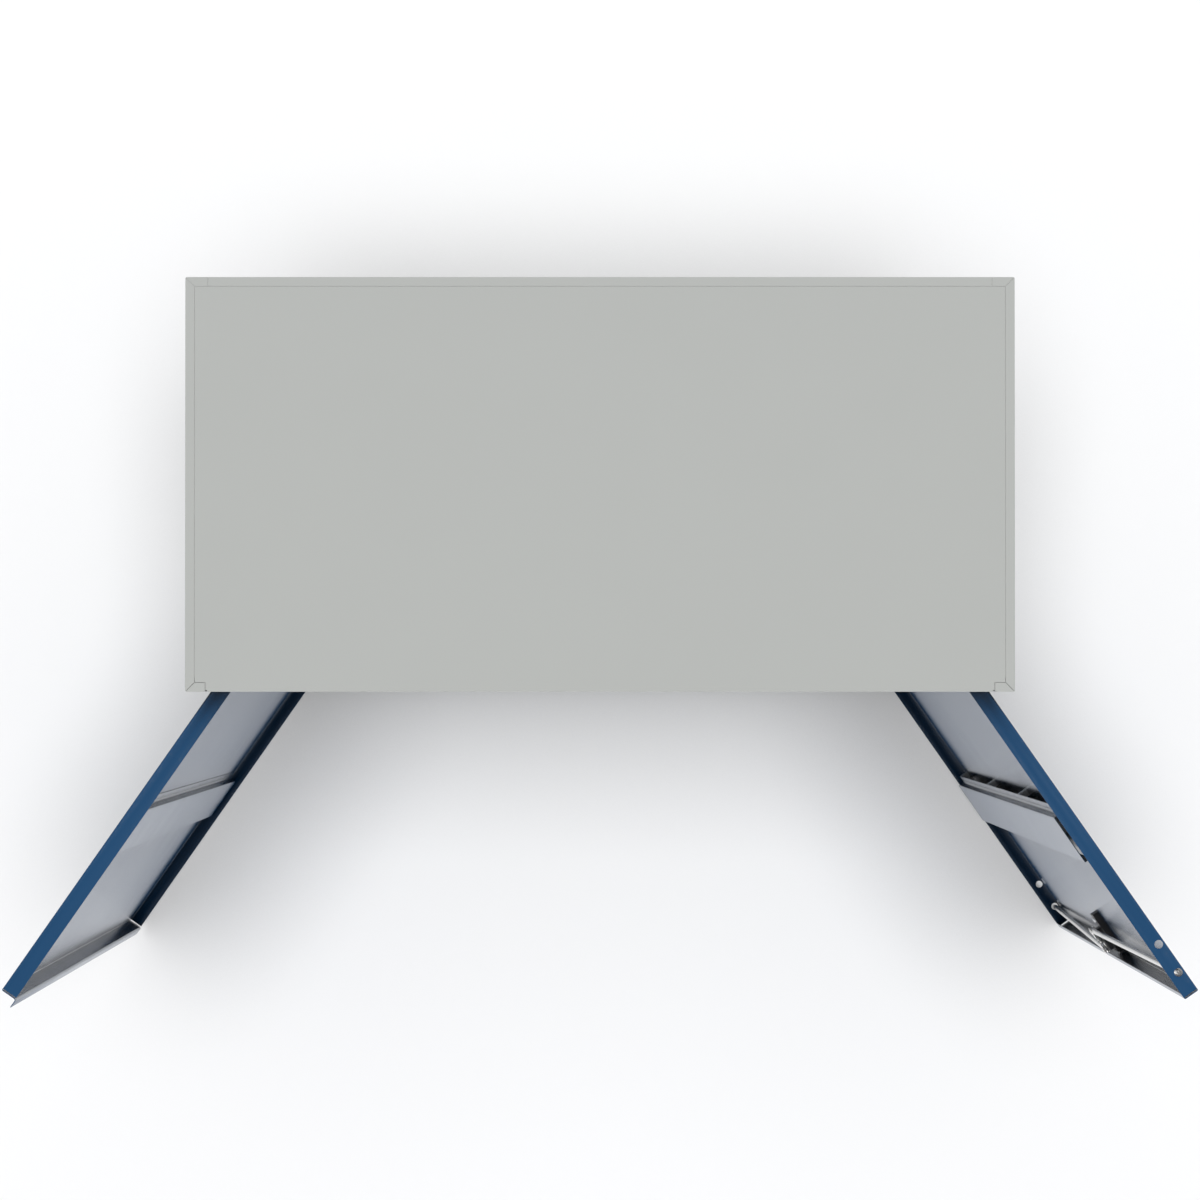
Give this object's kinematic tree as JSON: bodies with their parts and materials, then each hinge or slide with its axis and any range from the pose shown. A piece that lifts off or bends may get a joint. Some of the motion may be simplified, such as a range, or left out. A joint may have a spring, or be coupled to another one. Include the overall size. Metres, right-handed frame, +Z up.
{
  "type": "double-door storage cupboard",
  "caption": "Tall sheet-steel storage cupboard with hinged double doors standing open, adjustable shelves inside, and a turn handle that throws locking rods.",
  "frame": {"origin": "centre of the cupboard body's footprint, on the floor", "axes": "+Z up, +Y to the back panel, -Y to the doors, +X to the right seen from the front"},
  "size_m": [1.4803, 0.8821, 1.95],
  "materials": {
    "body_paint": "light grey satin powder coat",
    "door_paint": "blue gloss powder coat",
    "shelf_paint": "light grey powder coat",
    "zinc_steel": "zinc plated",
    "rod_steel": "bright drawn steel",
    "lock_chrome": "polished nickel",
    "black_plastic": "moulded, fine grain",
    "bush_nylon": "natural nylon",
    "glide_plastic": "moulded",
    "buffer_rubber": "matt"
  },
  "bodies": {
    "cabinet": {"left_side_panel": "body_paint", "right_side_panel": "body_paint", "back_panel": "body_paint", "top_panel": "body_paint", "base_panel": "body_paint", "top_stop_strip": "body_paint", "bottom_stop_strip": "body_paint", "door_buffers": "buffer_rubber", "pivot_plates": "zinc_steel", "pivot_bushes": "bush_nylon", "left_uprights": "zinc_steel", "right_uprights": "zinc_steel", "shelf_1": "shelf_paint", "shelf_2": "shelf_paint", "shelf_3": "shelf_paint", "shelf_4": "shelf_paint", "shelf_clips": "zinc_steel", "floor_glides": "glide_plastic"},
    "left_door": {"left_door_panel": "door_paint", "left_stiffener": "door_paint", "left_pivot_pins": "zinc_steel"},
    "right_door": {"right_door_panel": "door_paint", "right_stiffener": "door_paint", "stiffener_spacers": "zinc_steel", "right_pivot_pins": "zinc_steel", "lock_case": "black_plastic", "lock_screws": "zinc_steel", "handle_rose": "black_plastic"},
    "handle": {"turn_handle": "black_plastic", "spindle": "zinc_steel", "spindle_nut": "zinc_steel", "rod_lever": "rod_steel", "lever_pins": "rod_steel", "lock_barrel": "lock_chrome"},
    "cylinder": {"lock_plug": "lock_chrome"},
    "top_rod": {"top_rod": "rod_steel"},
    "bottom_rod": {"bottom_rod": "rod_steel"}
  },
  "joints": [
    {"name": "left_door_swing", "type": "hinge", "parent": "cabinet", "child": "left_door", "pos_m": [-0.457, -0.2425, 0.99], "axis": [0, 0, 1], "range_deg": [0, 125]},
    {"name": "right_door_swing", "type": "hinge", "parent": "cabinet", "child": "right_door", "pos_m": [0.457, -0.2425, 0.99], "axis": [0, 0, -1], "range_deg": [0, 125]},
    {"name": "handle_turn", "type": "hinge", "parent": "right_door", "child": "handle", "pos_m": [0.70634, -0.58552, 0.962], "axis": [0.8192, 0.5736, 0], "range_deg": [0, 90]},
    {"name": "key_turn", "type": "hinge", "parent": "handle", "child": "cylinder", "pos_m": [0.73091, -0.56831, 0.962], "axis": [0.8192, 0.5736, 0], "range_deg": [0, 90]},
    {"name": "top_rod_swing", "type": "hinge", "parent": "handle", "child": "top_rod", "pos_m": [0.68077, -0.58474, 0.962], "axis": [0.8192, 0.5736, 0], "range_deg": [-91, 0]},
    {"name": "bottom_rod_swing", "type": "hinge", "parent": "handle", "child": "bottom_rod", "pos_m": [0.69832, -0.60981, 0.962], "axis": [0.8192, 0.5736, 0], "range_deg": [-91, 0]}
  ],
  "couplings": [
    {"joint": "top_rod_swing", "follows": "handle_turn", "ratio": -1.0092},
    {"joint": "bottom_rod_swing", "follows": "handle_turn", "ratio": -1.0098}
  ]
}
